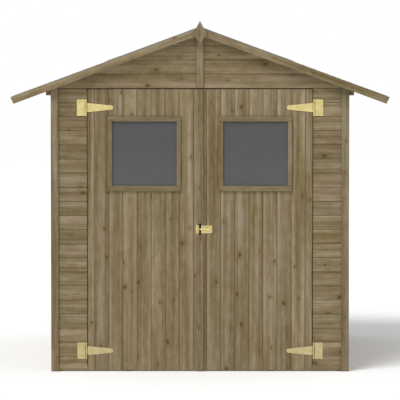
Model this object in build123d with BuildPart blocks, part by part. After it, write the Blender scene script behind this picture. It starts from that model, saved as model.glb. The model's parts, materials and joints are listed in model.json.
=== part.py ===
from build123d import *
import os
from math import cos, radians, sin, tan

os.makedirs("parts", exist_ok=True)

# Wooden garden shed with double doors: front towards -Y, ground at zero, millimetres.

# Body
body_width = 1860.0  # across the corner trims
body_depth = 2400.0  # across the corner trims
ground_gap = 8.0  # cladding and doors stop short of the ground
cladding_thickness = 12.0
eaves_rise = 25.5  # from the door head up to the roof at the side cladding
frame_depth = 28.0  # framing, measured inwards
frame_face = 44.0  # framing, measured along the wall
side_stud_count = 5
back_stud_count = 5

# Corner and gable trims
trim_thickness = 12.0
trim_width = 47.0
gable_strip_width = 44.0

# Floor
bearer_height = 44.0
bearer_width = 44.0
bearer_count = 5
floor_thickness = 12.0
floor_clearance = 6.0

# Doors
side_panel_width = 212.0  # cladding on each side of the doorway
door_height = 1756.0
door_thickness = 12.0
door_side_gap = 5.0
door_head_gap = 8.0
meeting_gap = 10.0
door_stop_gap = 5.0  # behind the leaves
door_stop_reach = 14.0  # into the doorway
door_stop_drop = 22.0  # below the head of the doorway
ledge_height = 88.0
ledge_thickness = 20.0
ledge_inset = 15.0
brace_width = 70.0
joint_gap = 0.4  # between pieces of wood that butt together
cover_strip_width = 44.0
cover_strip_thickness = 16.0
cover_strip_rebate = 5.0
cover_strip_drop = 4.0
cover_strip_notch = 74.0

# Windows
window_height = 402.0  # glass that shows
window_head_drop = 200.0  # from the head of the leaf
window_meeting_stile = 139.5  # from the meeting edge of the leaf
window_hinge_stile = 153.5  # from the hinged edge of the leaf
window_rebate = 8.0
pane_thickness = 4.0
pane_clearance = 1.0
window_trim_thickness = 12.0
window_trim_side = 26.0
window_trim_head = 30.0
window_trim_sill = 33.0

# Roof
roof_pitch = 20.25  # degrees
eaves_overhang = 246.0  # beyond the corner trims
gable_overhang = 45.0
roof_board_thickness = 12.0
felt_thickness = 3.0
ridge_felt_thickness = 2.0
ridge_felt_reach = 150.0
barge_depth = 44.0
barge_thickness = 16.0
purlin_width = 44.0
purlin_depth = 60.0
purlin_offset = 480.0  # from the ridge
eaves_rail_width = 42.0
eaves_rail_drop = 71.5

# Finials
finial_rise = 37.5  # above the ridge
finial_height = 160.0
finial_width = 94.0
finial_neck_width = 50.0
finial_neck_drop = 47.0
finial_point_drop = 82.0
finial_hollow = 7.0
finial_thickness = 16.0

# Hinges
top_hinge_drop = 114.0  # from the head of the leaf
bottom_hinge_rise = 122.0  # from the foot of the leaf
hinge_set_out = 4.0  # pin beyond the edge of the doorway
hinge_seat_gap = 0.3
hinge_sheet = 2.4
knuckle_radius = 5.0
knuckle_gap = 1.0
pin_radius = 2.5
pin_clearance = 0.05
pin_end = 3.0
hinge_plate_reach = 57.0
hinge_plate_height = 103.0
strap_reach = 169.0
strap_root_height = 59.0
strap_tip_height = 27.0
hinge_corner = 4.0

# Bolt
bolt_rise = 882.0  # from the foot of the leaf
bolt_radius = 4.5
bolt_clearance = 0.1
bolt_travel = 20.0
bolt_tip_gap = 2.0  # drawn back from the keeper
bolt_tip_chamfer = 1.0
bolt_sheet = 2.0
bolt_float = 1.5
bolt_plate_width = 69.0
bolt_plate_height = 47.0
bolt_plate_inset = 2.0
bolt_plate_corner = 2.0
guide_width = 9.0
guide_wall = 3.0
guide_inset = 4.0
guide_spacing = 18.0
knob_radius = 5.0
knob_height = 15.0
knob_inset = 7.0
knob_gap = 3.0  # left to the guide when the bolt is home
knob_round = 2.0
keeper_width = 19.5
keeper_height = 51.0
keeper_inset = 1.0
keeper_clearance = 1.0

overrun = 20.0  # how far a cut runs past a face

# Places that follow from the sizes above
slope = radians(roof_pitch)
wall_x = body_width / 2 - trim_thickness
wall_y = body_depth / 2 - trim_thickness
inner_x = wall_x - cladding_thickness
inner_y = wall_y - cladding_thickness
frame_x = inner_x - frame_depth
frame_y = inner_y - frame_depth
floor_top = bearer_height + floor_thickness
leaf_head = ground_gap + door_height
head_height = leaf_head + door_head_gap
eaves_height = head_height + eaves_rise
opening_x = wall_x - side_panel_width
leaf_meeting = meeting_gap / 2
leaf_hinge = opening_x - door_side_gap
door_width = leaf_hinge - leaf_meeting
leaf_back = -wall_y + door_thickness
roof_x = body_width / 2 + eaves_overhang
roof_y = wall_y + gable_overhang
barge_y = roof_y + barge_thickness
hinge_x = opening_x + hinge_set_out
hinge_y = -wall_y - hinge_seat_gap - knuckle_radius
hinge_heights = [leaf_head - top_hinge_drop, ground_gap + bottom_hinge_rise]
bolt_z = ground_gap + bolt_rise
bolt_y = -wall_y - bolt_sheet - bolt_float - bolt_radius
ledge_heights = [hinge_heights[1], bolt_z, hinge_heights[0]]
sides = {"left": -1, "right": 1}
ends = {"front": -1, "back": 1}


def underside(x):
    """Height of the underside of the roof at a distance from the ridge."""
    return eaves_height + (wall_x - abs(x)) * tan(slope)


def facing(y):
    """Upright plane at a depth, drawn as seen from the front and extruded towards it."""
    return Plane.XZ.offset(-y)


def roof_plane(side, y):
    """Plane across one slope: x runs down the slope from the ridge, y stands square off it."""
    return Plane(
        origin=(0, y, underside(0)),
        x_dir=(side * cos(slope), 0, -sin(slope)),
        z_dir=(0, -side, 0),
    )


def slope_band(low, high, ridge_gap=0.0):
    """Section of a layer of the roof, plumb at the ridge and square at the eaves."""
    run = (roof_x - (roof_board_thickness + felt_thickness) * sin(slope)) / cos(slope)
    ridge = [(ridge_gap / 2 - level * sin(slope)) / cos(slope) for level in (low, high)]
    Polyline((ridge[0], low), (run, low), (run, high), (ridge[1], high), close=True)


def keep(builder, label):
    """Name a finished piece and write it."""
    builder.part.label = label
    export_step(builder.part, f"parts/{label}.step")


def spread(first, last, count):
    """Evenly spaced places from the first to the last."""
    return [first + (last - first) * step / (count - 1) for step in range(count)]


# Floor on its bearers
floor_half_x = inner_x - floor_clearance
floor_half_y = inner_y - floor_clearance
bearer_places = spread(-floor_half_x + bearer_width / 2, floor_half_x - bearer_width / 2, bearer_count)

with BuildPart() as floor_bearers:
    with BuildSketch(Plane.XY):
        with Locations([(x, 0) for x in bearer_places]):
            Rectangle(bearer_width, 2 * floor_half_y)
    extrude(amount=bearer_height)
keep(floor_bearers, "floor_bearers")

with BuildPart() as floor_boards:
    with BuildSketch(Plane.XY.offset(bearer_height)):
        Rectangle(2 * floor_half_x, 2 * floor_half_y)
    extrude(amount=floor_thickness)
keep(floor_boards, "floor_boards")

# Side walls, with their tops cut to the slope of the roof
for name, side in sides.items():
    with BuildPart() as side_wall:
        with BuildSketch(facing(inner_y)):
            with BuildLine():
                Polyline(
                    (side * inner_x, ground_gap),
                    (side * wall_x, ground_gap),
                    (side * wall_x, underside(wall_x)),
                    (side * inner_x, underside(inner_x)),
                    close=True,
                )
            make_face()
        extrude(amount=2 * inner_y)
    keep(side_wall, f"{name}_wall")

# Back wall up to the ridge
with BuildPart() as back_wall:
    with BuildSketch(facing(wall_y)):
        with BuildLine():
            Polyline(
                (-wall_x, ground_gap),
                (wall_x, ground_gap),
                (wall_x, underside(wall_x)),
                (0, underside(0)),
                (-wall_x, underside(wall_x)),
                close=True,
            )
        make_face()
    extrude(amount=cladding_thickness)
keep(back_wall, "back_wall")

# Front panels beside the doorway and the gable over it
for name, side in sides.items():
    with BuildPart() as front_panel:
        with BuildSketch(facing(-inner_y)):
            with BuildLine():
                Polyline(
                    (side * opening_x, ground_gap),
                    (side * wall_x, ground_gap),
                    (side * wall_x, head_height),
                    (side * opening_x, head_height),
                    close=True,
                )
            make_face()
        extrude(amount=cladding_thickness)
    keep(front_panel, f"front_{name}_panel")

with BuildPart() as front_gable:
    with BuildSketch(facing(-inner_y)):
        with BuildLine():
            Polyline(
                (-wall_x, head_height),
                (wall_x, head_height),
                (wall_x, underside(wall_x)),
                (0, underside(0)),
                (-wall_x, underside(wall_x)),
                close=True,
            )
        make_face()
    extrude(amount=cladding_thickness)
keep(front_gable, "front_gable")

# Side framing
stud_foot = floor_top + frame_face
side_rail_z = underside(inner_x) - frame_face
side_stud_places = spread(-inner_y + frame_face / 2, inner_y - frame_face / 2, side_stud_count)

with BuildPart() as side_wall_rails:
    for side in sides.values():
        with BuildSketch(facing(inner_y)):
            with BuildLine():
                Polyline(
                    (side * frame_x, floor_top),
                    (side * inner_x, floor_top),
                    (side * inner_x, stud_foot),
                    (side * frame_x, stud_foot),
                    close=True,
                )
            make_face()
            with BuildLine():
                Polyline(
                    (side * frame_x, side_rail_z),
                    (side * inner_x, side_rail_z),
                    (side * inner_x, underside(inner_x)),
                    (side * frame_x, underside(frame_x)),
                    close=True,
                )
            make_face()
        extrude(amount=2 * inner_y)
keep(side_wall_rails, "side_wall_rails")

with BuildPart() as side_wall_studs:
    with BuildSketch(Plane.XY.offset(stud_foot)):
        for side in sides.values():
            with Locations([(side * (frame_x + inner_x) / 2, y) for y in side_stud_places]):
                Rectangle(frame_depth, frame_face)
    extrude(amount=side_rail_z - stud_foot)
keep(side_wall_studs, "side_wall_studs")

# Purlins, which rest on the studs of both gables
ridge_purlin_z = underside(purlin_width / 2) - purlin_depth
purlin_outer = purlin_offset + purlin_width / 2
purlin_inner = purlin_offset - purlin_width / 2
purlin_z = underside(purlin_outer) - purlin_depth

with BuildPart() as ridge_purlin:
    with BuildSketch(facing(inner_y)):
        with BuildLine():
            Polyline(
                (-purlin_width / 2, ridge_purlin_z),
                (purlin_width / 2, ridge_purlin_z),
                (purlin_width / 2, underside(purlin_width / 2)),
                (0, underside(0)),
                (-purlin_width / 2, underside(purlin_width / 2)),
                close=True,
            )
        make_face()
    extrude(amount=2 * inner_y)
keep(ridge_purlin, "ridge_purlin")

with BuildPart() as roof_purlins:
    for side in sides.values():
        with BuildSketch(facing(inner_y)):
            with BuildLine():
                Polyline(
                    (side * purlin_inner, purlin_z),
                    (side * purlin_outer, purlin_z),
                    (side * purlin_outer, underside(purlin_outer)),
                    (side * purlin_inner, underside(purlin_inner)),
                    close=True,
                )
            make_face()
        extrude(amount=2 * inner_y)
keep(roof_purlins, "roof_purlins")

# Gable framing: studs that stand on a rail at the door head carry the purlins
gable_studs = [(0, ridge_purlin_z), (-purlin_offset, purlin_z), (purlin_offset, purlin_z)]
jamb_places = [opening_x + frame_face / 2, frame_x - frame_face / 2]
front_stud_places = [side * x for side in sides.values() for x in jamb_places]
back_stud_places = spread(-frame_x + frame_face / 2, frame_x - frame_face / 2, back_stud_count)

for name, end in ends.items():
    stud_places = front_stud_places if name == "front" else back_stud_places
    rail_spans = [(-frame_x, frame_x)]
    if name == "front":
        rail_spans = [(-frame_x, -opening_x), (opening_x, frame_x)]
    frame_middle = end * (frame_y + inner_y) / 2

    with BuildPart() as wall_rails:
        with BuildSketch(Plane.XY.offset(floor_top)):
            for start, stop in rail_spans:
                with Locations(((start + stop) / 2, frame_middle)):
                    Rectangle(stop - start, frame_depth)
        extrude(amount=frame_face)
        with BuildSketch(Plane.XY.offset(head_height)):
            with Locations((0, frame_middle)):
                Rectangle(2 * frame_x, frame_depth)
        extrude(amount=eaves_rise)
    keep(wall_rails, f"{name}_wall_rails")

    with BuildPart() as wall_studs:
        with BuildSketch(Plane.XY.offset(stud_foot)):
            with Locations([(x, frame_middle) for x in stud_places]):
                Rectangle(frame_face, frame_depth)
        extrude(amount=head_height - stud_foot)
        for x, top in gable_studs:
            with BuildSketch(Plane.XY.offset(eaves_height)):
                with Locations((x, frame_middle)):
                    Rectangle(frame_face, frame_depth)
            extrude(amount=top - eaves_height)
    keep(wall_studs, f"{name}_wall_studs")

# Stops that the doors close towards, on the jamb studs and under the head rail
stop_foot = head_height - door_stop_drop
stop_front = leaf_back + door_stop_gap
with BuildPart() as door_stops:
    with BuildSketch(facing(-frame_y)):
        with Locations((0, head_height - door_stop_drop / 2)):
            Rectangle(2 * opening_x, door_stop_drop)
        for side in sides.values():
            with Locations((side * (opening_x - door_stop_reach / 2), (floor_top + stop_foot - joint_gap) / 2)):
                Rectangle(door_stop_reach, stop_foot - joint_gap - floor_top)
    extrude(amount=-frame_y - stop_front)
keep(door_stops, "door_stops")

# Roof boards and the felt on them
for name, side in sides.items():
    with BuildPart() as roof_boards:
        with BuildSketch(roof_plane(side, 0)):
            with BuildLine():
                slope_band(0, roof_board_thickness)
            make_face()
        extrude(amount=roof_y, both=True)
    keep(roof_boards, f"{name}_roof_boards")

    with BuildPart() as roof_felt:
        with BuildSketch(roof_plane(side, 0)):
            with BuildLine():
                slope_band(roof_board_thickness, roof_board_thickness + felt_thickness)
            make_face()
        extrude(amount=barge_y, both=True)
    keep(roof_felt, f"{name}_roof_felt")

# Felt strip folded over the ridge
felt_top = roof_board_thickness + felt_thickness
with BuildPart() as ridge_felt:
    for side in sides.values():
        with BuildSketch(roof_plane(side, 0)):
            with BuildLine():
                Polyline(
                    (-felt_top * tan(slope), felt_top),
                    (ridge_felt_reach, felt_top),
                    (ridge_felt_reach, felt_top + ridge_felt_thickness),
                    (-(felt_top + ridge_felt_thickness) * tan(slope), felt_top + ridge_felt_thickness),
                    close=True,
                )
            make_face()
        extrude(amount=barge_y, both=True)
keep(ridge_felt, "ridge_felt")

# Eaves rails along the outside of the side walls
with BuildPart() as eaves_rails:
    rail_outer = wall_x + eaves_rail_width
    for side in sides.values():
        with BuildSketch(facing(wall_y)):
            with BuildLine():
                Polyline(
                    (side * wall_x, eaves_height - eaves_rail_drop),
                    (side * rail_outer, eaves_height - eaves_rail_drop),
                    (side * rail_outer, underside(rail_outer)),
                    (side * wall_x, underside(wall_x)),
                    close=True,
                )
            make_face()
        extrude(amount=2 * wall_y)
keep(eaves_rails, "eaves_rails")

# Barge boards and finials on both gables
ridge_top = underside(0) + felt_top / cos(slope)
finial_top = ridge_top + finial_rise

for name, end in ends.items():
    with BuildPart() as barge_boards:
        for side in sides.values():
            with BuildSketch(roof_plane(side, end * (roof_y + barge_y) / 2)):
                with BuildLine():
                    slope_band(roof_board_thickness - barge_depth, roof_board_thickness, joint_gap)
                make_face()
            extrude(amount=barge_thickness / 2, both=True)
    keep(barge_boards, f"{name}_barge_boards")

    with BuildPart() as finial:
        with BuildSketch(facing(end * (barge_y + finial_thickness / 2))):
            with BuildLine():
                Line((0, finial_top), (finial_neck_width / 2, finial_top - finial_neck_drop))
                Line(
                    (finial_neck_width / 2, finial_top - finial_neck_drop),
                    (finial_width / 2, finial_top - finial_point_drop),
                )
                SagittaArc(
                    (finial_width / 2, finial_top - finial_point_drop),
                    (0, finial_top - finial_height),
                    -finial_hollow,
                )
                mirror(about=Plane.YZ)
            make_face()
        extrude(amount=finial_thickness / 2, both=True)
    keep(finial, f"{name}_finial")

# Corner trims: each corner has one strip on the gable wall and one on the side wall
for name, end in ends.items():
    with BuildPart() as corner_trims:
        with BuildSketch(facing(end * (wall_y + trim_thickness / 2))):
            for side in sides.values():
                trim_inner = body_width / 2 - trim_width
                with BuildLine():
                    Polyline(
                        (side * trim_inner, 0),
                        (side * body_width / 2, 0),
                        (side * body_width / 2, underside(body_width / 2)),
                        (side * trim_inner, underside(trim_inner)),
                        close=True,
                    )
                make_face()
        extrude(amount=trim_thickness / 2, both=True)
    keep(corner_trims, f"{name}_corner_trims")

side_trim_x = wall_x + trim_thickness / 2
side_trim_y = wall_y - trim_width / 2
with BuildPart() as side_corner_trims:
    with BuildSketch(Plane.XY):
        with GridLocations(2 * side_trim_x, 2 * side_trim_y, len(sides), len(ends)):
            Rectangle(trim_thickness, trim_width)
    extrude(amount=eaves_height - eaves_rail_drop)
keep(side_corner_trims, "side_corner_trims")

# Strip up the middle of the front gable
with BuildPart() as gable_strip:
    with BuildSketch(facing(-wall_y)):
        with BuildLine():
            Polyline(
                (-gable_strip_width / 2, head_height),
                (gable_strip_width / 2, head_height),
                (gable_strip_width / 2, underside(gable_strip_width / 2)),
                (0, underside(0)),
                (-gable_strip_width / 2, underside(gable_strip_width / 2)),
                close=True,
            )
        make_face()
    extrude(amount=trim_thickness)
keep(gable_strip, "gable_strip")

# Hinge plates on the front panels, with their end knuckles and the pin
plate_half = hinge_plate_height / 2
strap_half = strap_root_height / 2
end_knuckle = plate_half - strap_half - knuckle_gap
sheet_y = hinge_y + knuckle_radius - hinge_sheet / 2

with BuildPart() as hinge_plates:
    for side in sides.values():
        for z in hinge_heights:
            plate_edge = hinge_x + knuckle_radius + knuckle_gap
            plate_outer = hinge_x + hinge_plate_reach
            with BuildSketch(facing(hinge_y + knuckle_radius)):
                with Locations((side * (plate_edge + plate_outer) / 2, z)):
                    RectangleRounded(plate_outer - plate_edge, hinge_plate_height, hinge_corner)
                for end in ends.values():
                    with Locations(
                        (
                            side * (hinge_x + plate_edge + hinge_corner) / 2,
                            z + end * (plate_half - end_knuckle / 2),
                        )
                    ):
                        Rectangle(plate_edge + hinge_corner - hinge_x, end_knuckle)
            extrude(amount=hinge_sheet)
            for end in ends.values():
                knuckle_foot = z + end * (plate_half - end_knuckle / 2)
                with BuildSketch(Plane.XY.offset(knuckle_foot)):
                    with Locations((side * hinge_x, hinge_y)):
                        Circle(knuckle_radius)
                extrude(amount=end_knuckle / 2, both=True)
            with BuildSketch(Plane.XY.offset(z)):
                with Locations((side * hinge_x, hinge_y)):
                    Circle(pin_radius)
            extrude(amount=plate_half + pin_end, both=True)
keep(hinge_plates, "hinge_plates")

# What each door carries
window_width = door_width - window_meeting_stile - window_hinge_stile
window_middle = leaf_meeting + window_meeting_stile + window_width / 2
window_sill = leaf_head - window_head_drop - window_height
window_centre = window_sill + window_height / 2
hole_width = window_width + 2 * window_rebate
hole_height = window_height + 2 * window_rebate

for name, side in sides.items():
    # Leaf of upright boards with its window cut through
    with BuildPart() as door_boards:
        with BuildSketch(facing(leaf_back)):
            with Locations((side * (leaf_meeting + leaf_hinge) / 2, ground_gap + door_height / 2)):
                Rectangle(door_width, door_height)
            with Locations((side * window_middle, window_centre)):
                Rectangle(hole_width, hole_height, mode=Mode.SUBTRACT)
        extrude(amount=door_thickness)
    keep(door_boards, f"{name}_door_boards")

    # Ledges across the back of the leaf, and the brace up from the hinge side
    ledge_meeting = leaf_meeting + ledge_inset
    ledge_hinge = leaf_hinge - ledge_inset
    brace_foot = ledge_heights[0] + ledge_height / 2 + joint_gap
    brace_head = ledge_heights[1] - ledge_height / 2 - joint_gap
    with BuildPart() as door_ledges:
        with BuildSketch(facing(leaf_back + ledge_thickness)):
            for z in ledge_heights:
                with Locations((side * (ledge_meeting + ledge_hinge) / 2, z)):
                    Rectangle(ledge_hinge - ledge_meeting, ledge_height)
            with BuildLine():
                Polyline(
                    (side * ledge_hinge, brace_foot),
                    (side * (ledge_hinge - brace_width), brace_foot),
                    (side * ledge_meeting, brace_head),
                    (side * (ledge_meeting + brace_width), brace_head),
                    close=True,
                )
            make_face()
        extrude(amount=ledge_thickness)
    keep(door_ledges, f"{name}_door_ledges")

    # Pane in the opening, behind the outer trim
    with BuildPart() as window_pane:
        with BuildSketch(facing(-wall_y + pane_thickness)):
            with Locations((side * window_middle, window_centre)):
                Rectangle(hole_width - 2 * pane_clearance, hole_height - 2 * pane_clearance)
        extrude(amount=pane_thickness)
    keep(window_pane, f"{name}_window_pane")

    # Outer trim on the boards and inner beads that hold the pane
    trim_side_x = window_width / 2 + window_trim_side / 2
    trim_reach = window_width + 2 * window_trim_side
    bead_reach = window_width + 2 * window_rebate
    with BuildPart() as window_trim:
        with BuildSketch(facing(-wall_y)):
            with Locations((side * window_middle, window_sill + window_height + window_trim_head / 2)):
                Rectangle(trim_reach, window_trim_head)
            with Locations((side * window_middle, window_sill - window_trim_sill / 2)):
                Rectangle(trim_reach, window_trim_sill)
            for edge in (-trim_side_x, trim_side_x):
                with Locations((side * window_middle + edge, window_centre)):
                    Rectangle(window_trim_side, window_height - 2 * joint_gap)
        extrude(amount=window_trim_thickness)
        with BuildSketch(facing(leaf_back)):
            for edge in (-1, 1):
                with Locations((side * window_middle, window_centre + edge * (hole_height - window_rebate) / 2)):
                    Rectangle(bead_reach, window_rebate)
                with Locations((side * window_middle + edge * (hole_width - window_rebate) / 2, window_centre)):
                    Rectangle(window_rebate, window_height - 2 * joint_gap)
        extrude(amount=door_thickness - pane_thickness)
    keep(window_trim, f"{name}_window_trim")

    # Tapered hinge straps with the middle knuckle
    with BuildPart() as hinge_straps:
        for z in hinge_heights:
            tip_x = hinge_x - strap_reach + strap_tip_height / 2
            with BuildSketch(facing(hinge_y + knuckle_radius)):
                with BuildLine():
                    Polyline(
                        (side * tip_x, z + strap_tip_height / 2),
                        (side * hinge_x, z + strap_half),
                        (side * hinge_x, z - strap_half),
                        (side * tip_x, z - strap_tip_height / 2),
                    )
                    ThreePointArc(
                        (side * tip_x, z - strap_tip_height / 2),
                        (side * (tip_x - strap_tip_height / 2), z),
                        (side * tip_x, z + strap_tip_height / 2),
                    )
                make_face()
            extrude(amount=hinge_sheet)
            with BuildSketch(Plane.XY.offset(z)):
                with Locations((side * hinge_x, hinge_y)):
                    Circle(knuckle_radius)
            extrude(amount=strap_half, both=True)
            with BuildSketch(Plane.XY.offset(z)):
                with Locations((side * hinge_x, hinge_y)):
                    Circle(pin_radius + pin_clearance)
            extrude(amount=strap_half + overrun, both=True, mode=Mode.SUBTRACT)
    keep(hinge_straps, f"{name}_hinge_straps")

# Cover strip on the right leaf, which laps over the left one and is cut away at the bolt
strip_spans = [
    (ground_gap - cover_strip_drop, bolt_z - cover_strip_notch / 2),
    (bolt_z + cover_strip_notch / 2, leaf_head),
]
with BuildPart() as cover_strip:
    for foot, top in strip_spans:
        with BuildSketch(Plane.XY.offset(foot)):
            with BuildLine():
                Polyline(
                    (cover_strip_width / 2, -wall_y),
                    (cover_strip_width / 2, -wall_y - cover_strip_thickness),
                    (-cover_strip_width / 2, -wall_y - cover_strip_thickness),
                    (-cover_strip_width / 2, -wall_y - cover_strip_rebate),
                    (0, -wall_y - cover_strip_rebate),
                    (0, -wall_y),
                    close=True,
                )
            make_face()
        extrude(amount=top - foot)
keep(cover_strip, "cover_strip")


def staple(outer):
    """Outline of a loop of sheet over the bolt, with its feet on the plate."""
    foot = -wall_y - bolt_sheet - bolt_y
    Polyline((-outer, 0), (-outer, foot), (outer, foot), (outer, 0))
    ThreePointArc((outer, 0), (0, -outer), (-outer, 0))


def along_bolt(x):
    """Plane square to the bolt, centred on it: y runs towards the wall."""
    return Plane(origin=(x, bolt_y, bolt_z), x_dir=(0, 0, -1), z_dir=(1, 0, 0))


# Bolt guide on the right leaf: a plate with two loops
plate_start = leaf_meeting + bolt_plate_inset
guide_places = [plate_start + guide_inset, plate_start + guide_inset + guide_spacing]
with BuildPart() as bolt_guide:
    with BuildSketch(facing(-wall_y)):
        with Locations((plate_start + bolt_plate_width / 2, bolt_z)):
            RectangleRounded(bolt_plate_width, bolt_plate_height, bolt_plate_corner)
    extrude(amount=bolt_sheet)
    for x in guide_places:
        with BuildSketch(along_bolt(x)):
            with BuildLine():
                staple(bolt_radius + bolt_clearance + guide_wall)
            make_face()
            Circle(bolt_radius + bolt_clearance, mode=Mode.SUBTRACT)
        extrude(amount=guide_width)
keep(bolt_guide, "bolt_guide")

# Keeper on the left leaf
keeper_edge = -leaf_meeting - keeper_inset
with BuildPart() as bolt_keeper:
    with BuildSketch(facing(-wall_y)):
        with Locations((keeper_edge - keeper_width / 2, bolt_z)):
            RectangleRounded(keeper_width, keeper_height, bolt_plate_corner)
    extrude(amount=bolt_sheet)
    with BuildSketch(along_bolt(keeper_edge - (keeper_width + guide_width) / 2)):
        with BuildLine():
            staple(bolt_radius + keeper_clearance + guide_wall)
        make_face()
        Circle(bolt_radius + keeper_clearance, mode=Mode.SUBTRACT)
    extrude(amount=guide_width)
keep(bolt_keeper, "bolt_keeper")

# Bolt with its knob
bolt_tip = keeper_edge + bolt_tip_gap
knob_x = guide_places[-1] + guide_width + bolt_travel + knob_gap + knob_radius
bolt_end = knob_x + knob_inset
with BuildPart() as bolt_bar:
    with BuildSketch(along_bolt(bolt_tip)):
        Circle(bolt_radius)
    extrude(amount=bolt_end - bolt_tip)
    chamfer(bolt_bar.faces().sort_by(Axis.X)[0].edges(), length=bolt_tip_chamfer)
    with BuildSketch(facing(bolt_y)):
        with Locations((knob_x, bolt_z)):
            Circle(knob_radius)
    extrude(amount=knob_height)
    fillet(bolt_bar.faces().sort_by(Axis.Y)[0].edges(), radius=knob_round)
keep(bolt_bar, "bolt_bar")
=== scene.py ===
import bpy
import json
import math
import random
import numpy as np
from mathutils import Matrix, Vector


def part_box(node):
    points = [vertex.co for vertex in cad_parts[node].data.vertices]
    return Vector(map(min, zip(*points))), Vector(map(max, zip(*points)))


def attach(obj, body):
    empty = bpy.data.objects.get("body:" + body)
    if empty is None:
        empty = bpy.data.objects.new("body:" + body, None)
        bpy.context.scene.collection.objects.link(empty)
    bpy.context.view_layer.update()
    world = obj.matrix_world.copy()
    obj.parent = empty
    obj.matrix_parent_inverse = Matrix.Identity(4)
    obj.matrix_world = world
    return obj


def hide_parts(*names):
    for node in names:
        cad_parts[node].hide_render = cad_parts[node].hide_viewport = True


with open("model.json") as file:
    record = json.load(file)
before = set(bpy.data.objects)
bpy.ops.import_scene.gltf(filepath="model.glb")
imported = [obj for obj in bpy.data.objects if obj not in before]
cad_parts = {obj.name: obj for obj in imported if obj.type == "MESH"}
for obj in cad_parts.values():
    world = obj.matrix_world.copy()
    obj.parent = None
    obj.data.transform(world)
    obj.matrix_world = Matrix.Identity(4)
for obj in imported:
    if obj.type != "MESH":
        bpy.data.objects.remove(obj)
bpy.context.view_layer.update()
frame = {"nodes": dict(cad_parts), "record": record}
print("frame loaded:", len(frame["nodes"]), "nodes")

# roof slope, read from the gable and the side wall
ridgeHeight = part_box("front_gable")[1].z
innerWall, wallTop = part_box("right_wall")[0].x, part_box("right_wall")[1].z
roofPitch = math.atan((ridgeHeight - wallTop) / innerWall)
sides = {"left": -1, "right": 1}
touch = 0.0001  # how near counts as on a face


# ways of working, all on one active object

def deselectAll():
    if bpy.context.mode != "OBJECT":
        bpy.ops.object.mode_set(mode="OBJECT")
    bpy.ops.object.select_all(action="DESELECT")


def activate(obj):
    deselectAll()
    obj.select_set(True)
    bpy.context.view_layer.objects.active = obj


def addBlock(name, low, high):
    deselectAll()
    low, high = Vector(low), Vector(high)
    bpy.ops.mesh.primitive_cube_add(size=1, location=(low + high) / 2)
    obj = bpy.context.object
    obj.name = obj.data.name = name
    obj.scale = high - low
    bpy.ops.object.transform_apply(location=True, rotation=True, scale=True)
    return obj


def bevelEdges(obj, width, steps, test=None, profile=0.5):
    activate(obj)
    bpy.ops.object.mode_set(mode="EDIT")
    bpy.ops.mesh.select_mode(type="EDGE")
    bpy.ops.mesh.select_all(action="DESELECT" if test else "SELECT")
    if test:
        bpy.ops.object.mode_set(mode="OBJECT")
        points = obj.data.vertices
        for edge in obj.data.edges:
            edge.select = all(test(points[i].co) for i in edge.vertices)
        bpy.ops.object.mode_set(mode="EDIT")
    bpy.ops.mesh.bevel(offset=width, segments=steps, profile=profile, affect="EDGES")
    bpy.ops.object.mode_set(mode="OBJECT")


def arrayOf(obj, step, count):
    activate(obj)
    rows = obj.modifiers.new("rows", "ARRAY")
    rows.use_relative_offset = False
    rows.use_constant_offset = True
    rows.constant_offset_displace = step
    rows.count = count
    bpy.ops.object.modifier_apply(modifier=rows.name)


def cutAway(obj, point, normal):  # takes off what the normal points to
    activate(obj)
    bpy.ops.object.mode_set(mode="EDIT")
    bpy.ops.mesh.select_all(action="SELECT")
    bpy.ops.mesh.bisect(plane_co=point, plane_no=normal, use_fill=True, clear_outer=True)
    bpy.ops.object.mode_set(mode="OBJECT")


def cutBox(obj, low, high):
    cutter = addBlock("cutter", low, high)
    activate(obj)
    hole = obj.modifiers.new("hole", "BOOLEAN")
    hole.operation = "DIFFERENCE"
    hole.object = cutter
    bpy.ops.object.modifier_apply(modifier=hole.name)
    bpy.data.objects.remove(cutter)


roofClearance = 0.0004


def cutToRoof(obj):  # both slopes, a hair under the roof boards
    for side in sides.values():
        slopeUp = (side * math.sin(roofPitch), 0, math.cos(roofPitch))
        cutAway(obj, (0, 0, ridgeHeight - roofClearance), slopeUp)


def joinAll(name, parts):
    deselectAll()
    for part in parts:
        part.select_set(True)
    bpy.context.view_layer.objects.active = parts[0]
    bpy.ops.object.join()
    parts[0].name = parts[0].data.name = name
    return parts[0]


smoothing = {"boards": 30, "sheets": 35, "heads": 40}  # in degrees


def smoothBy(obj, degrees):
    activate(obj)
    bpy.ops.object.shade_smooth_by_angle(angle=math.radians(degrees))


easing = {"weld": 0.00001, "flat": 0.5, "sharp": 40, "steps": 2}  # flat and sharp in degrees


def easedCopy(node, width):  # a CAD node's shape with its sharp edges taken off
    activate(frame["nodes"][node])
    bpy.ops.object.duplicate()
    obj = bpy.context.object
    for key in list(obj.keys()):
        del obj[key]
    obj.parent = None
    obj.name = obj.data.name = node + "_eased"
    bpy.ops.object.mode_set(mode="EDIT")
    bpy.ops.mesh.select_all(action="SELECT")
    bpy.ops.mesh.remove_doubles(threshold=easing["weld"])
    bpy.ops.mesh.dissolve_limited(angle_limit=math.radians(easing["flat"]))
    bpy.ops.object.mode_set(mode="OBJECT")
    edges = obj.modifiers.new("edges", "BEVEL")
    edges.width = width
    edges.segments = easing["steps"]
    edges.limit_method = "ANGLE"
    edges.angle_limit = math.radians(easing["sharp"])
    bpy.ops.object.modifier_apply(modifier=edges.name)
    smoothBy(obj, smoothing["sheets"])
    return obj


def islandsOf(mesh):
    owner = list(range(len(mesh.vertices)))

    def rootOf(i):
        while owner[i] != i:
            owner[i] = owner[owner[i]]
            i = owner[i]
        return i

    for edge in mesh.edges:
        a, b = edge.vertices
        owner[rootOf(a)] = rootOf(b)
    found = {}
    for i in range(len(owner)):
        found.setdefault(rootOf(i), []).append(i)
    return list(found.values())


logs = {"start": (5, 60), "aside": (-0.03, 0.03), "depth": (0.035, 0.09)}  # where boards lie in their logs


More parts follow.
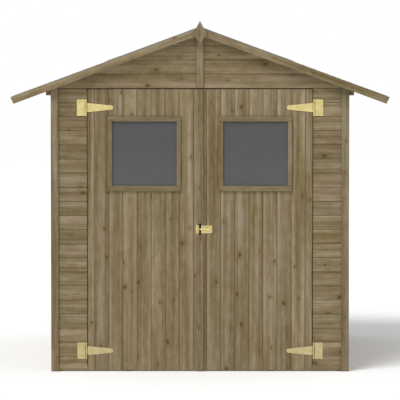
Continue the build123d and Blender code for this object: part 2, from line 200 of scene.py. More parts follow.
def setGrain(obj, seed, along=None, tone=0.5, variety=0.35, seams=0.0):  # each board is from a log of its own
    mesh = obj.data
    points = np.array([v.co for v in mesh.vertices])
    grain = np.zeros((len(points), 3))
    across = np.zeros((len(points), 3))
    shade = np.zeros(len(points))
    draw = random.Random(seed)
    for island in islandsOf(mesh):
        local = points[island]
        local = local - (local.min(0) + local.max(0)) / 2
        if along:
            size = local.max(0) - local.min(0)
            size["xyz".index(along)] = math.inf
            order = sorted(range(3), key=lambda i: -size[i])
            axes = np.eye(3)[:, order]
        else:  # the longest way through the piece comes first
            axes = np.linalg.eigh(local.T @ local)[1][:, ::-1]
        turned = local @ axes
        grain[island] = turned + [draw.uniform(*ends) for ends in logs.values()]
        across[island, 0] = turned[:, 1]
        across[island, 1] = np.abs(turned[:, 1]).max()
        across[island, 2] = seams
        shade[island] = tone + draw.uniform(-variety, variety)
    corner = np.zeros(len(mesh.loops), dtype=int)  # on corners, so that a later cut keeps it
    mesh.loops.foreach_get("vertex_index", corner)
    for title, values in (("grain", grain), ("across", across)):
        attribute = mesh.attributes.new(title, "FLOAT_VECTOR", "CORNER")
        attribute.data.foreach_set("vector", values[corner].ravel())
    mesh.attributes.new("tone", "FLOAT", "CORNER").data.foreach_set("value", shade[corner])


made = {}  # the finished piece that stands for a node


def finishPiece(obj, body, material, slotName, *nodes):
    obj.data.materials.clear()
    obj.data.materials.append(material)
    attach(obj, body)
    if nodes:
        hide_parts(*nodes)
    made.update({node: obj for node in nodes})


# shader maths

class Wire:  # one socket of a node tree
    def __init__(self, tree, socket=None):
        self.tree = tree
        self.socket = socket

    def node(self, kind, settings=None, inputs=None, out=0):
        fresh = self.tree.nodes.new(kind)
        for key, value in (settings or {}).items():
            if key == "stops":
                ramp = fresh.color_ramp
                ramp.elements.remove(ramp.elements[1])
                ramp.elements[0].position, ramp.elements[0].color = value[0][0], (*value[0][1], 1)
                for place, colour in value[1:]:
                    ramp.elements.new(place).color = (*colour, 1)
            else:
                setattr(fresh, key, value)
        for key, value in (inputs or {}).items():
            if isinstance(value, Wire):
                self.tree.links.new(value.socket, fresh.inputs[key])
            else:
                fresh.inputs[key].default_value = value
        return Wire(self.tree, fresh.outputs[out])

    def out(self, index):  # another output of the same node
        return Wire(self.tree, self.socket.node.outputs[index])

    def math(self, operation, first, second):
        return self.node("ShaderNodeMath", {"operation": operation}, {0: first, 1: second})

    def __add__(self, other):
        return self.math("ADD", self, other)

    def __sub__(self, other):
        return self.math("SUBTRACT", self, other)

    def __rsub__(self, other):
        return self.math("SUBTRACT", other, self)

    def __mul__(self, other):
        return self.math("MULTIPLY", self, other)

    def __truediv__(self, other):
        return self.math("DIVIDE", self, other)

    def __pow__(self, other):
        return self.math("POWER", self, other)

    def __gt__(self, other):
        return self.math("GREATER_THAN", self, other)

    __radd__ = __add__
    __rmul__ = __mul__

    def stretch(self, x, y, z):  # a vector scaled along each axis
        return self.node("ShaderNodeVectorMath", {"operation": "MULTIPLY"}, {0: self, 1: (x, y, z)})

    def noise(self, scale, detail=3.0, rough=0.55):
        return self.node(
            "ShaderNodeTexNoise", None, {"Vector": self, "Scale": scale, "Detail": detail, "Roughness": rough}
        )

    def ease(self, start, stop):  # smooth step from 0 to 1 between two values
        inputs = {"Value": self, "From Min": start, "From Max": stop}
        return self.node("ShaderNodeMapRange", {"interpolation_type": "SMOOTHSTEP"}, inputs)

    def mix(self, first, second, blend="MIX"):  # self is the factor
        colours = [c if isinstance(c, Wire) else (*c, 1) for c in (first, second)]
        settings = {"data_type": "RGBA", "blend_type": blend}
        return self.node("ShaderNodeMix", settings, {0: self, 6: colours[0], 7: colours[1]}, out=2)

    def brighten(self, factor):  # a colour times a value
        return self.node("ShaderNodeVectorMath", {"operation": "SCALE"}, {0: self, 3: factor})

    def ramp(self, *stops):
        return self.node("ShaderNodeValToRGB", {"stops": stops}, {0: self})

    def bump(self, distance, strength=1.0):
        return self.node("ShaderNodeBump", None, {"Height": self, "Distance": distance, "Strength": strength})


def newMaterial(name):
    material = bpy.data.materials.new(name)
    material.use_nodes = True
    shader = material.node_tree.nodes["Principled BSDF"]
    return material, shader, Wire(material.node_tree)


def feed(shader, **links):
    for name, wire in links.items():
        socket = shader.inputs[name.replace("_", " ")]
        if isinstance(wire, Wire):
            shader.id_data.links.new(wire.socket, socket)
        else:
            socket.default_value = wire


# treated softwood: rings of the log, streaks of the treatment, knots and fibres

treatedWood = {
    "dark": (0.116, 0.082, 0.03),
    "middle": (0.224, 0.176, 0.098),
    "light": (0.358, 0.306, 0.217),
    "late": (0.148, 0.101, 0.039),
    "green": (0.983, 0.995, 0.935),
    "rosy": (1.034, 0.985, 0.965),
    "knot": (0.093, 0.057, 0.008),
    "knotHeart": (0.05, 0.029, 0.003),
    "grime": (0.094, 0.062, 0.018),
    "arris": (0.372, 0.324, 0.236),
    "ringSpacing": 0.0062,
    "ringDrift": 0.055,
    "ringWander": 0.005,
    "ringBend": 0.011,
    "knotCell": 7.0,
    "knotScatter": 0.9,
    "knotRarity": 0.36,
    "knotSize": 0.034,
    "knotGrowth": 0.05,
    "knotRings": 26.0,
    "shares": {"streak": 0.42, "lines": 0.13, "fibre": 0.14, "patch": 0.15, "mottle": 0.16},
    "lateShare": 0.24,
    "poreShare": 0.38,
    "haloShare": 0.35,
    "knotShare": 0.68,
    "knotRingShare": 0.13,
    "heartShare": 0.5,
    "arrisShare": 0.45,
    "grimeShare": 0.35,
    "wornRight": (0.034, 0.004),  # from the board's edge, where the wear starts and is full
    "wornLeft": (0.03, 0.004),
    "grimeReach": (0.005, 0.002),
    "levels": {"dark": 0.36, "middle": 0.49, "light": 0.63},
    "toneFloor": 0.85,
    "toneSpan": 0.3,
    "bumpHeight": 0.0011,
}
woodStretch = {  # of each pattern: along, across and through the board
    "knots": (0.62, 1.0, 0.0),
    "ragged": (90.0, 140.0, 140.0),
    "slow": (0.8, 5.0, 5.0),
    "wander": (5.0, 40.0, 40.0),
    "streak": (0.9, 30.0, 30.0),
    "lines": (2.2, 120.0, 120.0),
    "fibre": (12.0, 480.0, 480.0),
    "patch": (1.6, 7.0, 7.0),
    "mottle": (15.0, 30.0, 30.0),
    "hue": (0.7, 7.0, 7.0),
}


def makeTreatedWood():
    material, shader, start = newMaterial("treatedWood")
    grain = start.node("ShaderNodeAttribute", {"attribute_name": "grain"}, out=1)
    tone = start.node("ShaderNodeAttribute", {"attribute_name": "tone"}, out=2)
    parts = grain.node("ShaderNodeSeparateXYZ", None, {0: grain})
    v, w = parts.out(1), parts.out(2)

    # knots: some cells of a flat pattern hold one, and the rings bend round it
    flat = grain.stretch(*woodStretch["knots"])
    cellInputs = {"Vector": flat, "Scale": treatedWood["knotCell"], "Randomness": treatedWood["knotScatter"]}
    cells = grain.node("ShaderNodeTexVoronoi", {"voronoi_dimensions": "2D"}, cellInputs)
    chance = grain.node("ShaderNodeSeparateColor", None, {0: cells.out(1)})
    held = chance > treatedWood["knotRarity"]
    ragged = grain.stretch(*woodStretch["ragged"]).noise(1.0, 2.0)
    knotSize = chance.out(1) * treatedWood["knotGrowth"] + treatedWood["knotSize"]
    away = cells / knotSize + (ragged - 0.5) * 0.5
    knot = held * away.ease(1.15, 0.85)
    heart = held * away.ease(0.7, 0.2)
    knotRings = grain.node("ShaderNodeMath", {"operation": "SINE"}, {0: away * treatedWood["knotRings"]})
    halo = held * away.ease(4.5, 0.8)

    # growth rings about the heart of the log
    slow = grain.stretch(*woodStretch["slow"]).noise(1.0, 2.0)
    wander = grain.stretch(*woodStretch["wander"]).noise(1.0, 2.0)
    radius = (v * v + w * w) ** 0.5
    rings = radius + (slow - 0.5) * treatedWood["ringDrift"] + (wander - 0.5) * treatedWood["ringWander"]
    rings = rings + halo * treatedWood["ringBend"]
    saw = grain.node("ShaderNodeMath", {"operation": "FRACT"}, {0: rings / treatedWood["ringSpacing"]})
    late = saw.ease(0.3, 0.92) * saw.ease(1.0, 0.92)

    # streaks from broad to fine, all along the board
    streak = grain.stretch(*woodStretch["streak"]).noise(1.0, 3.0)
    lines = grain.stretch(*woodStretch["lines"]).noise(1.0, 3.0, 0.6)
    fibre = grain.stretch(*woodStretch["fibre"]).noise(1.0, 3.0, 0.65)
    patch = grain.stretch(*woodStretch["patch"]).noise(1.0, 3.0)
    mottle = grain.stretch(*woodStretch["mottle"]).noise(1.0, 3.0)
    hue = grain.stretch(*woodStretch["hue"]).noise(1.7, 2.0)
    pores = fibre.ease(0.42, 0.3)

    shares = treatedWood["shares"]
    level = streak * shares["streak"] + lines * shares["lines"] + fibre * shares["fibre"]
    level = level + patch * shares["patch"] + mottle * shares["mottle"]
    base = level.ramp(*[(place, treatedWood[shade]) for shade, place in treatedWood["levels"].items()])
    base = (late * treatedWood["lateShare"] + pores * treatedWood["poreShare"]).mix(base, treatedWood["late"])
    tint = hue.ease(0.35, 0.65).mix(treatedWood["green"], treatedWood["rosy"])
    base = base.node("ShaderNodeVectorMath", {"operation": "MULTIPLY"}, {0: base, 1: tint})
    base = base.brighten(tone * treatedWood["toneSpan"] + treatedWood["toneFloor"])
    base = (halo * treatedWood["haloShare"]).mix(base, treatedWood["late"])
    knotDepth = knotRings * treatedWood["knotRingShare"] + treatedWood["knotShare"]
    base = (knot * knotDepth).mix(base, treatedWood["knot"])
    base = (heart * treatedWood["heartShare"]).mix(base, treatedWood["knotHeart"])

    # joints between upright boards: grime in the groove and a pale worn arris beside it
    edge = grain.node("ShaderNodeAttribute", {"attribute_name": "across"}, out=1)
    offset = edge.node("ShaderNodeSeparateXYZ", None, {0: edge})
    halfWidth, seams = offset.out(1), offset.out(2)
    fromRight, fromLeft = halfWidth - offset, halfWidth + offset
    wornRight = fromRight.ease(*treatedWood["wornRight"]) * tone.ease(0.4, 0.6)
    wornLeft = fromLeft.ease(*treatedWood["wornLeft"]) * tone.ease(0.45, 0.2)
    worn = (wornRight + wornLeft) * slow.ease(0.35, 0.62) * seams
    base = (worn * treatedWood["arrisShare"]).mix(base, treatedWood["arris"])
    nearest = edge.math("MINIMUM", fromRight, fromLeft)
    grimed = nearest.ease(*treatedWood["grimeReach"]) * seams
    base = (grimed * treatedWood["grimeShare"]).mix(base, treatedWood["grime"])

    height = fibre * 0.45 + lines * 0.35 + late * 0.35 - knot * 0.3 - pores * 0.25
    feed(
        shader,
        Base_Color=base,
        Roughness=fibre * 0.2 + 0.68 - knot * 0.08,
        Normal=height.bump(treatedWood["bumpHeight"], 0.8),
        Specular_IOR_Level=0.2,
    )
    return material


wood = makeTreatedWood()
print("wood finish made")

# roofing felt, mineral faced

felt = {"dark": (0.10, 0.105, 0.1), "light": (0.27, 0.275, 0.265), "grit": 900.0}


def makeFelt():
    material, shader, start = newMaterial("mineralFelt")
    place = start.node("ShaderNodeTexCoord", out=3)
    grit = place.noise(felt["grit"], 2.0, 0.7)
    cloud = place.noise(3.0, 4.0)
    runs = place.stretch(2.0, 14.0, 2.0).noise(2.0, 3.0)
    level = grit * 0.55 + cloud * 0.25 + runs * 0.2
    base = level.ramp((0.32, felt["dark"]), (0.66, felt["light"]))
    height = grit * 0.7 + cloud * 0.6
    feed(shader, Base_Color=base, Roughness=0.93, Normal=height.bump(0.0012), Specular_IOR_Level=0.25)
    return material


feltFinish = makeFelt()

# yellow plating of the hinges and the bolt, with painted shade in the hinge knuckle creases and towards the
# bottom

plating = {
    "pale": (0.75, 0.635, 0.3),
    "deep": (0.66, 0.53, 0.2),
    "spot": (0.4, 0.29, 0.11),
    # painted shade in the creases beside the hinge knuckle
    "grime": (0.13, 0.095, 0.04),
    # painted shade towards the bottom: a darker, bluer multiplier and the height below which it fades in
    "dull": (0.745, 0.755, 0.865),
    "splashedBelow": 0.5,
    "knuckle": 0.005,
    "creaseShare": 1.9,
}
pinPlace = frame["record"]["behaviour"]["joints"][0]["pos_m"][0]


def makePlating(name, metallic, rough, brightness=1.0):
    material, shader, start = newMaterial(name)
    place = start.node("ShaderNodeTexCoord", out=3)
    cloud = place.noise(38.0, 5.0)
    brush = place.stretch(60.0, 60.0, 900.0).noise(1.0, 3.0)
    spots = place.noise(520.0, 2.0).ease(0.7, 0.76)
    base = cloud.ease(0.35, 0.7).mix(plating["pale"], plating["deep"])
    base = (spots * 0.7).mix(base, plating["spot"]).brighten(brightness)
    parts = place.node("ShaderNodeSeparateXYZ", None, {0: place})
    # painted shade: the plating is multiplied darker and bluer towards the bottom, where less of the light
    # from above reaches
    shadedLow = parts.out(2).ease(plating["splashedBelow"], plating["splashedBelow"] * 0.6)
    base = shadedLow.mix(base, plating["dull"], "MULTIPLY")
    # painted shade: two thin bands on either side of the hinge pin, where the knuckle meets the plate and the
    # strap, are darkened
    fromPin = place.math("ABSOLUTE", place.math("ABSOLUTE", parts, 0) - pinPlace, 0)
    outer = plating["knuckle"] * plating["creaseShare"]
    creaseShade = fromPin.ease(plating["knuckle"], plating["knuckle"] * 1.08) * fromPin.ease(outer, outer * 0.75)
    base = (creaseShade * 0.8).mix(base, plating["grime"])
    feed(
        shader,
        Base_Color=base,
        Metallic=metallic,
        Roughness=brush * 0.16 + cloud * 0.14 + rough,
        Normal=(brush * 0.4 + cloud * 0.6 - spots * 0.5).bump(0.0003, 0.6),
    )
    return material


hingePlating = makePlating("hingePlating", 0.45, 0.3, 1.045)
boltPlating = makePlating("boltPlating", 0.6, 0.26, 1.02)

# dull zinc of nails and clouts

zinc = {"clean": (0.2, 0.175, 0.135), "stained": (0.1, 0.078, 0.053)}


def makeZinc():
    material, shader, start = newMaterial("nailZinc")
    place = start.node("ShaderNodeTexCoord", out=3)
    cloud = place.noise(300.0, 3.0)
    base = cloud.ease(0.3, 0.75).mix(zinc["clean"], zinc["stained"])
    feed(shader, Base_Color=base, Metallic=0.35, Roughness=cloud * 0.3 + 0.45, Normal=cloud.bump(0.0002))
    return material


nailZinc = makeZinc()

# panes: a clear sheet with dust, its grey base colour painted shade of the dark inside behind it

paneShadeAndDust = {"tint": (0.09, 0.091, 0.09), "dust": (0.15, 0.15, 0.145)}


def makeGlazing():
    material, shader, start = newMaterial("paneGlazing")
    place = start.node("ShaderNodeTexCoord", out=3)
    smear = place.stretch(3.0, 3.0, 9.0).noise(1.3, 4.0)
    dust = place.noise(700.0, 2.0).ease(0.68, 0.8)
    # painted shade: the grey tint stands in for the dark inside seen through the glass; the dust is real
    base = (smear * 0.2 + dust * 0.25).mix(paneShadeAndDust["tint"], paneShadeAndDust["dust"])
    feed(
        shader,
        Base_Color=base,
        Roughness=smear * 0.1 + dust * 0.2 + 0.04,
        Alpha=dust * 0.1 + smear * 0.06 + 0.8,
        Specular_IOR_Level=0.5,
        Normal=smear.bump(0.0004, 0.3),
    )
    return material


paneGlazing = makeGlazing()
print("other finishes made")

# horizontal cladding, one board a course, with a cove along the top of each

cladding = {
    "pitch": 0.0882,
    "cove": 0.0054,
    "coveSteps": 4,
    "coveProfile": 0.18,
    "lip": 0.0014,
    "lipSteps": 2,
    "sliverShare": 0.02,  # less than this of a course at the top isn't a board
}


def cladWall(node, outAxis, outSide, along, seed, tone=0.5):
    low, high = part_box(node)
    rows = math.ceil((high.z - low.z) / cladding["pitch"] - cladding["sliverShare"])
    top = low.z + cladding["pitch"]
    outer = high[outAxis] if outSide > 0 else low[outAxis]
    board = addBlock(node + "_cladding", low, (high.x, high.y, top))

    def onFace(co, level):
        return abs(co[outAxis] - outer) < touch and abs(co.z - level) < touch

    cove, coveSteps = cladding["cove"], cladding["coveSteps"]
    bevelEdges(board, cove, coveSteps, lambda co: onFace(co, top), cladding["coveProfile"])
    bevelEdges(board, cladding["lip"], cladding["lipSteps"], lambda co: onFace(co, low.z))
    arrayOf(board, (0, 0, cladding["pitch"]), rows)
    cutToRoof(board)
    setGrain(board, seed, along, tone)
    smoothBy(board, smoothing["boards"])
    finishPiece(board, "shed", wood, "treated_wood", node)


cladWall("left_wall", 0, -1, "y", 11)
cladWall("right_wall", 0, 1, "y", 12)
cladWall("back_wall", 1, 1, "x", 13)
cladWall("front_left_panel", 1, -1, "x", 14)
cladWall("front_right_panel", 1, -1, "x", 15)
cladWall("front_gable", 1, -1, "x", 16, 0.58)
print("walls clad")

# doors: upright boards with a groove at each joint, cut round the window

doorBoards = {
    "pitch": 0.088,
    "firstJoint": 0.041,
    "gap": 0.0001,
    "groove": 0.0028,
    "grooveSteps": 2,
    "tone": {"left": 0.48, "right": 0.33},
    "log": {"left": 19, "right": 21},
    "windowSlack": (0.001, 0.1, 0.001),
}


def boardDoor(name, side):
    node = name + "_door_boards"
    low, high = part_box(node)
    count = math.ceil((high.x - low.x) / doorBoards["pitch"]) + 1
    inner = doorBoards["firstJoint"] - doorBoards["pitch"]
    start = inner if side > 0 else -inner - count * doorBoards["pitch"]
    stop = start + doorBoards["pitch"] - doorBoards["gap"]
    board = addBlock(node + "_upright", (start, low.y, low.z), (stop, high.y, high.z))

    def onFrontEdge(co):
        return abs(co.y - low.y) < touch

    bevelEdges(board, doorBoards["groove"], doorBoards["grooveSteps"], onFrontEdge)
    arrayOf(board, (doorBoards["pitch"], 0, 0), count)
    cutAway(board, (low.x, 0, 0), (-1, 0, 0))
    cutAway(board, (high.x, 0, 0), (1, 0, 0))
    setGrain(board, doorBoards["log"][name], "z", tone=doorBoards["tone"][name], seams=1.0)
    paneLow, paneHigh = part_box(name + "_window_pane")
    slack = Vector(doorBoards["windowSlack"])
    cutBox(board, paneLow - slack, paneHigh + slack)
    smoothBy(board, smoothing["boards"])
    finishPiece(board, name + "_door", wood, "treated_wood", node)


for name, side in sides.items():
    boardDoor(name, side)
print("doors boarded")

# floor and roof boards

floorBoards = {"pitch": 0.117, "edge": 0.0015, "edgeSteps": 2, "log": 31}
roofBoards = {
    "pitch": 0.0985,
    "thick": 0.012,
    "edge": 0.0025,
    "edgeSteps": 1,
    "pastRidge": 0.01,
    "log": {"left": 32, "right": 34},
}


def layFloor():
    low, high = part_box("floor_boards")
    count = math.ceil((high.y - low.y) / floorBoards["pitch"])
    board = addBlock("floor_boards_laid", low, (high.x, low.y + floorBoards["pitch"], high.z))
    bevelEdges(board, floorBoards["edge"], floorBoards["edgeSteps"])
    arrayOf(board, (0, floorBoards["pitch"], 0), count)
    cutAway(board, (0, high.y, 0), (0, 1, 0))
    setGrain(board, floorBoards["log"], "x")
    smoothBy(board, smoothing["boards"])
    finishPiece(board, "shed", wood, "treated_wood", "floor_boards")


def slopeRun(node, depth):  # how far a node reaches down the slope, at its outer corner
    low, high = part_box(node)
    return (max(abs(low.x), abs(high.x)) - depth * math.sin(roofPitch)) / math.cos(roofPitch)


def slopeBlock(name, side, start, stop, reach, low, high):  # lies along the slope, seen down from the ridge
    ends = sorted((side * start, side * stop))
    return addBlock(name, (ends[0], -reach, low), (ends[1], reach, high))


def tiltToRoof(obj, side):
    activate(obj)
    obj.rotation_euler = (0, side * roofPitch, 0)
    obj.location = (0, 0, ridgeHeight)
    bpy.ops.object.transform_apply(location=True, rotation=True, scale=True)
    cutAway(obj, (0, 0, 0), (-side, 0, 0))


def layRoof(name, side):
    node = name + "_roof_boards"
    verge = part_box(node)[1].y
    thick = roofBoards["thick"]
    run = slopeRun(node, thick)
    start = -roofBoards["pastRidge"]
    count = math.ceil((run - start) / roofBoards["pitch"])
    stop = start + roofBoards["pitch"]
    board = slopeBlock(node + "_laid", side, start, stop, verge, 0, thick)
    bevelEdges(board, roofBoards["edge"], roofBoards["edgeSteps"], lambda co: co.z < touch)
    arrayOf(board, (side * roofBoards["pitch"], 0, 0), count)
    cutAway(board, (side * run, 0, 0), (side, 0, 0))
    tiltToRoof(board, side)
    setGrain(board, roofBoards["log"][name])
    smoothBy(board, smoothing["boards"])
    finishPiece(board, "shed", wood, "treated_wood", node)


layFloor()
for name, side in sides.items():
    layRoof(name, side)
print("floor and roof boarded")

# felt: a sheet on each slope with a second one lapped over it, turned down at the eaves

feltSheets = {
    "thick": 0.0028,
    "lapAt": 0.62,
    "lapThick": 0.002,
    "lapInset": 0.001,
    "turnDown": 0.024,
    "nose": 0.002,  # past the boards at the eaves
    "gap": 0.0002,
    "pastRidge": 0.02,
    "edge": 0.00072,
    "edgeSteps": 2,
    "ridgeEdge": 0.0009,
}


def layFelt(name, side):
    node = name + "_roof_felt"
    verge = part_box(node)[1].y
    base = roofBoards["thick"]
    top = base + feltSheets["thick"]
    run = slopeRun(node, top)
    start, stop, gap = -feltSheets["pastRidge"], run + feltSheets["nose"], feltSheets["gap"]
    lapBase = top + gap
    lapTop = lapBase + feltSheets["lapThick"]
    lapVerge = verge - feltSheets["lapInset"]
    sheet = slopeBlock(node + "_laid", side, start, stop, verge, base + gap, top)
    lap = slopeBlock("lap", side, start, feltSheets["lapAt"], lapVerge, lapBase, lapTop)
    drip = slopeBlock("drip", side, run + gap, stop, verge, top - feltSheets["turnDown"], base)
    sheets = [sheet, lap, drip]
    for piece in sheets:
        bevelEdges(piece, feltSheets["edge"], feltSheets["edgeSteps"])
        tiltToRoof(piece, side)
    felted = joinAll(node + "_laid", sheets)
    smoothBy(felted, smoothing["sheets"])
    finishPiece(felted, "shed", feltFinish, "roof_felt", node)


for name, side in sides.items():
    layFelt(name, side)
ridge = easedCopy("ridge_felt", feltSheets["ridgeEdge"])
finishPiece(ridge, "shed", feltFinish, "roof_felt", "ridge_felt")
print("roof felted")

# trims, barge boards, framing and the rest of the carpentry, with eased edges

carpentry = {  # body, width of the eased edge, tone, number of the log
    "front_corner_trims": ("shed", 0.0025, 0.08, 68),
    "back_corner_trims": ("shed", 0.0025, 0.3, 69),
    "side_corner_trims": ("shed", 0.0025, 0.3, 70),
    "gable_strip": ("shed", 0.0025, 0.3, 71),
    "front_barge_boards": ("shed", 0.0022, 0.6, 72),
    "back_barge_boards": ("shed", 0.0022, 0.6, 73),
    "front_finial": ("shed", 0.002, 0.3, 74),
    "back_finial": ("shed", 0.002, 0.3, 75),
    "eaves_rails": ("shed", 0.002, 0.2, 76),
    "ridge_purlin": ("shed", 0.002, 0.6, 77),
    "roof_purlins": ("shed", 0.002, 0.6, 78),
    "floor_bearers": ("shed", 0.002, 0.3, 79),
    "side_wall_studs": ("shed", 0.0018, 0.6, 80),
    "side_wall_rails": ("shed", 0.0018, 0.6, 81),
    "back_wall_studs": ("shed", 0.0018, 0.6, 82),
    "back_wall_rails": ("shed", 0.0018, 0.6, 83),
    "front_wall_studs": ("shed", 0.0018, 0.6, 84),
    "front_wall_rails": ("shed", 0.0018, 0.6, 85),
    "door_stops": ("shed", 0.0015, 0.6, 86),
    "left_door_ledges": ("left_door", 0.002, 0.5, 103),
    "left_window_trim": ("left_door", 0.0016, -0.15, 304),
    "right_door_ledges": ("right_door", 0.002, 0.5, 110),
    "right_window_trim": ("right_door", 0.0016, 0.0, 211),
    "cover_strip": ("right_door", 0.0022, 0.4, 112),
}
carpentryVariety = 0.14  # of tone, less than between the boards of a wall

for node, (body, width, tone, log) in carpentry.items():
    piece = easedCopy(node, width)
    setGrain(piece, log, tone=tone, variety=carpentryVariety)
    finishPiece(piece, body, wood, "treated_wood", node)
print("carpentry dressed")

# hinges and bolt, with rounded sheet edges

ironwork = {
    "hinge_plates": ("shed", hingePlating, "hinge_plating", 0.0005),
    "left_hinge_straps": ("left_door", hingePlating, "hinge_plating", 0.0005),
    "right_hinge_straps": ("right_door", hingePlating, "hinge_plating", 0.0005),
    "bolt_guide": ("right_door", boltPlating, "bolt_brass", 0.0004),
    "bolt_keeper": ("left_door", boltPlating, "bolt_brass", 0.0004),
    "bolt_bar": ("bolt", boltPlating, "bolt_brass", 0.0003),
}

for node, (body, finish, slotName, width) in ironwork.items():
    finishPiece(easedCopy(node, width), body, finish, slotName, node)

for name in sides:
    pane = frame["nodes"][name + "_window_pane"]
    pane.data.materials.clear()
    pane.data.materials.append(paneGlazing)
print("ironwork and panes finished")

# nails, clouts and screws, each head set on the surface that it holds

nails = {"radius": 0.0023, "rise": 0.0006, "sides": 10}
pins = {"radius": 0.0016, "rise": 0.0004, "sides": 8}
clouts = {"radius": 0.0062, "rise": 0.0011, "sides": 12}
screws = {"radius": 0.0042, "rise": 0.0016, "sides": 14, "slot": 0.0009}
smallScrews = {"radius": 0.0029, "rise": 0.0011, "sides": 14, "slot": 0.0007}
headShares = {"round": 0.7, "slotReach": 0.62, "slotFloor": 0.3}  # of the rise, the radius and the rise


def makeHead(size):
    deselectAll()
    bpy.ops.mesh.primitive_cylinder_add(vertices=size["sides"], radius=size["radius"], depth=size["rise"] * 2)
    head = bpy.context.object
    rounding = size["rise"] * headShares["round"]
    bevelEdges(head, rounding, easing["steps"], lambda co: co.z > size["rise"] - touch)
    if "slot" in size:
        reach, half = size["radius"] * headShares["slotReach"], size["slot"] / 2
        slotFloor = size["rise"] * headShares["slotFloor"]
        for x, y in ((reach, half), (half, reach)):
            cutBox(head, (-x, -y, slotFloor), (x, y, size["rise"] * 3))
    return head


def driveAll(name, size, seats, body, finish, slotName):  # seats: (point, outward normal), one mesh for all
    head = makeHead(size)
    shape = [v.co.copy() for v in head.data.vertices]
    sheets = [list(p.vertices) for p in head.data.polygons]
    points, faces = [], []
    for place, normal in seats:
        turn = Vector((0, 0, 1)).rotation_difference(normal)
        base = len(points)
        points += [place + turn @ co for co in shape]
        faces += [[i + base for i in sheet] for sheet in sheets]
    bpy.data.objects.remove(head)
    mesh = bpy.data.meshes.new(name)
    mesh.from_pydata(points, [], faces)
    obj = bpy.data.objects.new(name, mesh)
    bpy.context.scene.collection.objects.link(obj)
    smoothBy(obj, smoothing["heads"])
    finishPiece(obj, body, finish, slotName)


def seatOn(piece, start, heading):  # where a line from outside first meets a piece
    met, place, normal = piece.ray_cast(Vector(start), Vector(heading))[:3]
    return [(place, normal)] if met else []


outside = 5.0
toBack, toFront, toRight, toLeft, toGround = (0, 1, 0), (0, -1, 0), (1, 0, 0), (-1, 0, 0), (0, 0, -1)
framing = {  # middles of the studs behind the cladding
    "front": (0.728, 0.853),
    "gable": (-0.48, 0.48),
    "side": (-1.154, -0.577, 0.0, 0.577, 1.154),
    "back": (-0.856, -0.428, 0.0, 0.428, 0.856),
}
nailRiseShare = 0.3  # height of a nail in its course


def spread(start, stop, step):  # even places along a line, ends included
    count = max(1, round((stop - start) / step))
    return [start + (stop - start) * i / count for i in range(count + 1)]


def nailWalls():
    seats = []
    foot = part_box("left_wall")[0].z
    rows = round(ridgeHeight / cladding["pitch"])
    for row in range(rows):
        z = foot + cladding["pitch"] * (row + nailRiseShare)
        for name, side in sides.items():
            heading = toRight if side < 0 else toLeft
            for x in framing["front"]:
                seats += seatOn(made[f"front_{name}_panel"], (side * x, -outside, z), toBack)
            for y in framing["side"]:
                seats += seatOn(made[name + "_wall"], (side * outside, y, z), heading)
        for x in framing["back"]:
            seats += seatOn(made["back_wall"], (x, outside, z), toFront)
        for x in framing["gable"]:
            seats += seatOn(made["front_gable"], (x, -outside, z), toBack)
    driveAll("wall_nails", nails, seats, "shed", nailZinc, "hinge_plating")


doorNailing = {"inset": 0.044, "pair": 0.03}


def nailDoors():
    stripReach = max(abs(corner.x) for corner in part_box("cover_strip"))
    for name, side in sides.items():
        seats = []
        low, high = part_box(name + "_door_ledges")
        leafReach = max(abs(corner.x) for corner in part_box(name + "_door_boards"))
        joints = [doorBoards["firstJoint"]]
        while joints[-1] + doorBoards["pitch"] < leafReach:
            joints.append(joints[-1] + doorBoards["pitch"])
        edges = [stripReach] + joints + [leafReach]
        middles = [(a + b) / 2 for a, b in zip(edges, edges[1:])]
        for z in (low.z + doorNailing["inset"], (low.z + high.z) / 2, high.z - doorNailing["inset"]):
            for x in middles:
                for drop in (-doorNailing["pair"], doorNailing["pair"]):
                    seats += seatOn(made[name + "_door_boards"], (side * x, -outside, z + drop), toBack)
        driveAll(name + "_door_nails", nails, seats, name + "_door", nailZinc, "hinge_plating")


hingeScrews = {
    "heightInset": 0.0545,
    "plate": (0.023, 0.045),
    "plateRise": 0.034,
    "strap": (0.035, 0.09, 0.145),
}


def screwHinges():
    low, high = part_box("hinge_plates")
    plateSeats = []
    for name, side in sides.items():
        strapSeats = []
        for z in (high.z - hingeScrews["heightInset"], low.z + hingeScrews["heightInset"]):
            for away in hingeScrews["plate"]:
                for rise in (-hingeScrews["plateRise"], hingeScrews["plateRise"]):
                    place = (side * (pinPlace + away), -outside, z + rise)
                    plateSeats += seatOn(made["hinge_plates"], place, toBack)
            for away in hingeScrews["strap"]:
                place = (side * (pinPlace - away), -outside, z)
                strapSeats += seatOn(made[name + "_hinge_straps"], place, toBack)
        driveAll(name + "_strap_screws", screws, strapSeats, name + "_door", hingePlating, "hinge_plating")
    driveAll("plate_screws", screws, plateSeats, "shed", hingePlating, "hinge_plating")


boltScrews = {"inset": 0.0065}


def screwBolt():
    for node, body in (("bolt_guide", "right_door"), ("bolt_keeper", "left_door")):
        low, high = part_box(node)
        inset = boltScrews["inset"]
        across = {low.x + inset, high.x - inset} if node == "bolt_guide" else {(low.x + high.x) / 2}
        seats = []
        for x in sorted(across):
            for z in (low.z + inset, high.z - inset):
                seats += seatOn(made[node], (x, -outside, z), toBack)
        driveAll(node + "_screws", smallScrews, seats, body, boltPlating, "bolt_brass")


trimPins = {"step": 0.29, "inset": 0.035, "fromCorner": 0.0235, "underRoof": 0.011}


def pinUpright(node, places, heading, body):  # one pin after another up the middle of a strip
    low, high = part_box(node)
    seats = []
    for z in spread(low.z + trimPins["inset"], high.z - trimPins["inset"], trimPins["step"]):
        for start in places:
            seats += seatOn(made[node], (*start, z), heading)
    driveAll(node + "_pins", pins, seats, body, nailZinc, "hinge_plating")


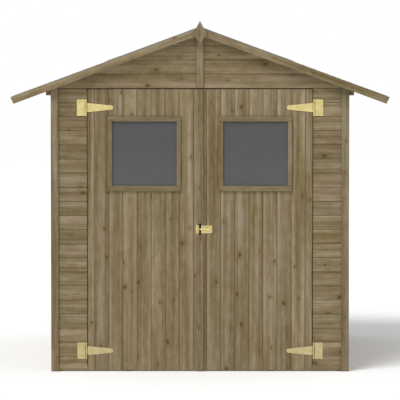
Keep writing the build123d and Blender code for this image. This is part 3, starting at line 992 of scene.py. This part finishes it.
def pinTrims():
    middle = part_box("front_corner_trims")[1].x - trimPins["fromCorner"]
    for node, heading, away in (("front_corner_trims", toBack, -1), ("back_corner_trims", toFront, 1)):
        pinUpright(node, [(side * middle, away * outside) for side in sides.values()], heading, "shed")
    pinUpright("gable_strip", [(0, -outside)], toBack, "shed")
    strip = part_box("cover_strip")
    pinUpright("cover_strip", [((strip[0].x + strip[1].x) / 2, -outside)], toBack, "right_door")
    for node, heading, away in (("front_barge_boards", toBack, -1), ("back_barge_boards", toFront, 1)):
        low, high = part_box(node)
        seats = []
        for x in spread(low.x + trimPins["inset"], high.x - trimPins["inset"], trimPins["step"]):
            height = ridgeHeight - abs(x) * math.tan(roofPitch) - trimPins["underRoof"]
            seats += seatOn(made[node], (x, away * outside, height), heading)
        driveAll(node + "_pins", pins, seats, "shed", nailZinc, "hinge_plating")


feltClouts = {"step": 0.075, "edge": 0.018, "lapEdge": 0.016}


def cloutFelt():
    for name, side in sides.items():
        node = name + "_roof_felt"
        low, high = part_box(node)
        reach = max(abs(low.x), abs(high.x)) - feltClouts["edge"]
        lapReach = (feltSheets["lapAt"] - feltClouts["lapEdge"]) * math.cos(roofPitch)
        verge = high.y - feltClouts["edge"]
        places = [(x, y) for y in spread(-verge, verge, feltClouts["step"]) for x in (reach, lapReach)]
        places += [(x, y) for x in spread(lapReach, reach, feltClouts["step"])[1:-1] for y in (-verge, verge)]
        seats = []
        for x, y in places:
            seats += seatOn(made[node], (side * x, y, outside), toGround)
        driveAll(name + "_felt_clouts", clouts, seats, "shed", nailZinc, "hinge_plating")


nailWalls()
nailDoors()
screwHinges()
screwBolt()
pinTrims()
cloutFelt()
print("nails, clouts and screws driven")

# studio: pale floor, even light with a soft key from the upper left, camera straight on

studio = {
    "floorSize": 60.0,
    "floorColour": (0.95, 0.95, 0.95, 1),
    "floorGlow": 0.12,
    "backdrop": 1.0,
    "skyLight": 0.5,
    "keyLight": 2.04,
    "keySoftness": 28.0,
    "keyHeading": (0.45, 0.66, -1.0),
}
photo = {
    "pixelSize": 0.00623,
    "pixels": 400,
    "groundRow": 372.3,
    "eyeHeight": 2.15,
    "distance": 20.0,
    "sensor": 36.0,
    "farClip": 500,
}

deselectAll()
bpy.ops.mesh.primitive_plane_add(size=studio["floorSize"], location=(0, 0, 0))
floor = bpy.context.object
floor.name = "studio_floor"
floorFinish, floorShader = newMaterial("studioFloor")[:2]
feed(
    floorShader,
    Base_Color=studio["floorColour"],
    Roughness=0.9,
    Specular_IOR_Level=0.1,
    Emission_Color=(1, 1, 1, 1),
    Emission_Strength=studio["floorGlow"],
)
floor.data.materials.append(floorFinish)

world = bpy.data.worlds.new("studioWorld")
bpy.context.scene.world = world
world.use_nodes = True
sky = world.node_tree.nodes["Background"]
sky.inputs["Color"].default_value = (1, 1, 1, 1)
seen = Wire(world.node_tree).node("ShaderNodeLightPath")
strength = seen * (studio["backdrop"] - studio["skyLight"]) + studio["skyLight"]
world.node_tree.links.new(strength.socket, sky.inputs["Strength"])

bpy.ops.object.light_add(type="SUN")
key = bpy.context.object
key.name = "key"
key.data.energy = studio["keyLight"]
key.data.angle = math.radians(studio["keySoftness"])
key.rotation_euler = Vector(studio["keyHeading"]).to_track_quat("-Z", "Y").to_euler()

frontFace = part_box("front_gable")[0].y
span = photo["pixelSize"] * photo["pixels"]
aimHeight = (photo["groundRow"] - photo["pixels"] / 2) * photo["pixelSize"]
bpy.ops.object.camera_add(location=(0, frontFace - photo["distance"], photo["eyeHeight"]))
camera = bpy.context.object
camera.data.sensor_width = photo["sensor"]
camera.data.lens = photo["sensor"] * photo["distance"] / span
camera.data.clip_end = photo["farClip"]
aim = Vector((0, frontFace, aimHeight)) - camera.location
camera.rotation_euler = aim.to_track_quat("-Z", "Y").to_euler()
bpy.context.scene.camera = camera
bpy.context.scene.view_settings.view_transform = "Standard"
print("studio set")
